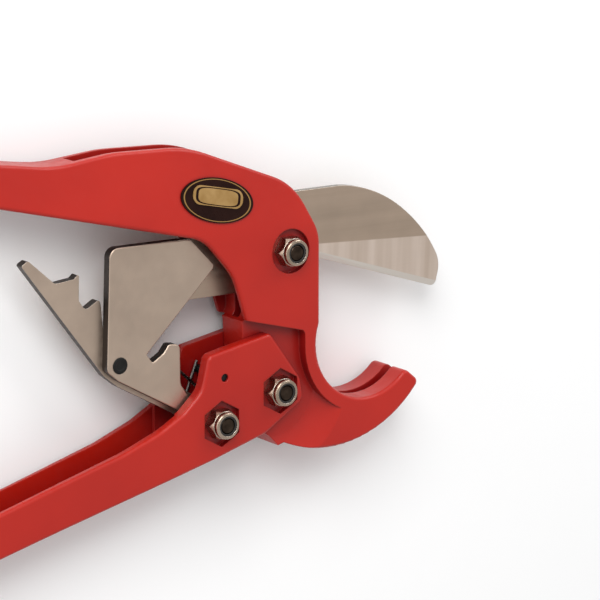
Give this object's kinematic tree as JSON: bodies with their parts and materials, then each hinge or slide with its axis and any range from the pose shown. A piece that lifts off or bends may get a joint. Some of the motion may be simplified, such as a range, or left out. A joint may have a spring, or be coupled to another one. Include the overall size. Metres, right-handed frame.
{
  "type": "ratcheting pipe cutter",
  "caption": "Hand-squeezed ratcheting cutter for plastic pipe, with red cast handles, a steel blade over a round pipe seat and a notched ratchet.",
  "frame": {"origin": "centre of the pipe seat, in the blade's own middle plane", "axes": "+X out of the open jaws, +Y from the seat towards the fixed handle's side, +Z along the pipe towards the nut and label side"},
  "size_m": [0.4302, 0.2285, 0.0319],
  "materials": {
    "red_enamel": "thick glossy enamel over a casting",
    "blade_steel": "ground",
    "ratchet_steel": "stamped, satin",
    "black_oxide": "black oxide, satin",
    "bearing_bronze": "turned",
    "plain_steel": "plain",
    "spring_steel": "drawn wire",
    "zinc": "bright zinc plate",
    "dark_nylon": "moulded",
    "label_dark": "printed plate",
    "label_gold": "printed panel"
  },
  "bodies": {
    "frame": {"frame_casting": "red_enamel", "blade_bolt": "zinc", "blade_nut": "zinc", "blade_nut_insert": "dark_nylon", "blade_bushing": "bearing_bronze", "blade_washers": "plain_steel", "handle_bushing": "bearing_bronze", "label_plate": "label_dark", "label_badge": "label_gold"},
    "moving_handle": {"lower_handle": "red_enamel", "handle_bolt": "zinc", "handle_nut": "zinc", "handle_nut_insert": "dark_nylon", "ratchet_bolt": "zinc", "ratchet_nut": "zinc", "ratchet_nut_insert": "dark_nylon", "ratchet_spacer": "plain_steel", "ratchet_spring": "spring_steel", "spring_pin": "plain_steel"},
    "blade": {"blade": "blade_steel"},
    "ratchet": {"ratchet_plate": "ratchet_steel", "ratchet_bar": "ratchet_steel", "ratchet_rivet": "black_oxide", "ratchet_sleeve": "bearing_bronze"}
  },
  "joints": [
    {"name": "handle_pivot", "type": "hinge", "parent": "frame", "child": "moving_handle", "pos_m": [-0.0441, -0.0164, 0], "axis": [0, 0, 1], "range_deg": [-25, 20]},
    {"name": "blade_pivot", "type": "hinge", "parent": "frame", "child": "blade", "pos_m": [-0.0384, 0.0398, 0], "axis": [0, 0, 1], "range_deg": [-9.2, 7.4]},
    {"name": "ratchet_pivot", "type": "hinge", "parent": "moving_handle", "child": "ratchet", "pos_m": [-0.0724, -0.0256, 0], "axis": [0, 0, 1], "range_deg": [-20.8, 25.8]}
  ],
  "couplings": [
    {"joint": "blade_pivot", "follows": "handle_pivot", "ratio": 0.355},
    {"joint": "ratchet_pivot", "follows": "handle_pivot", "ratio": -1.02}
  ]
}
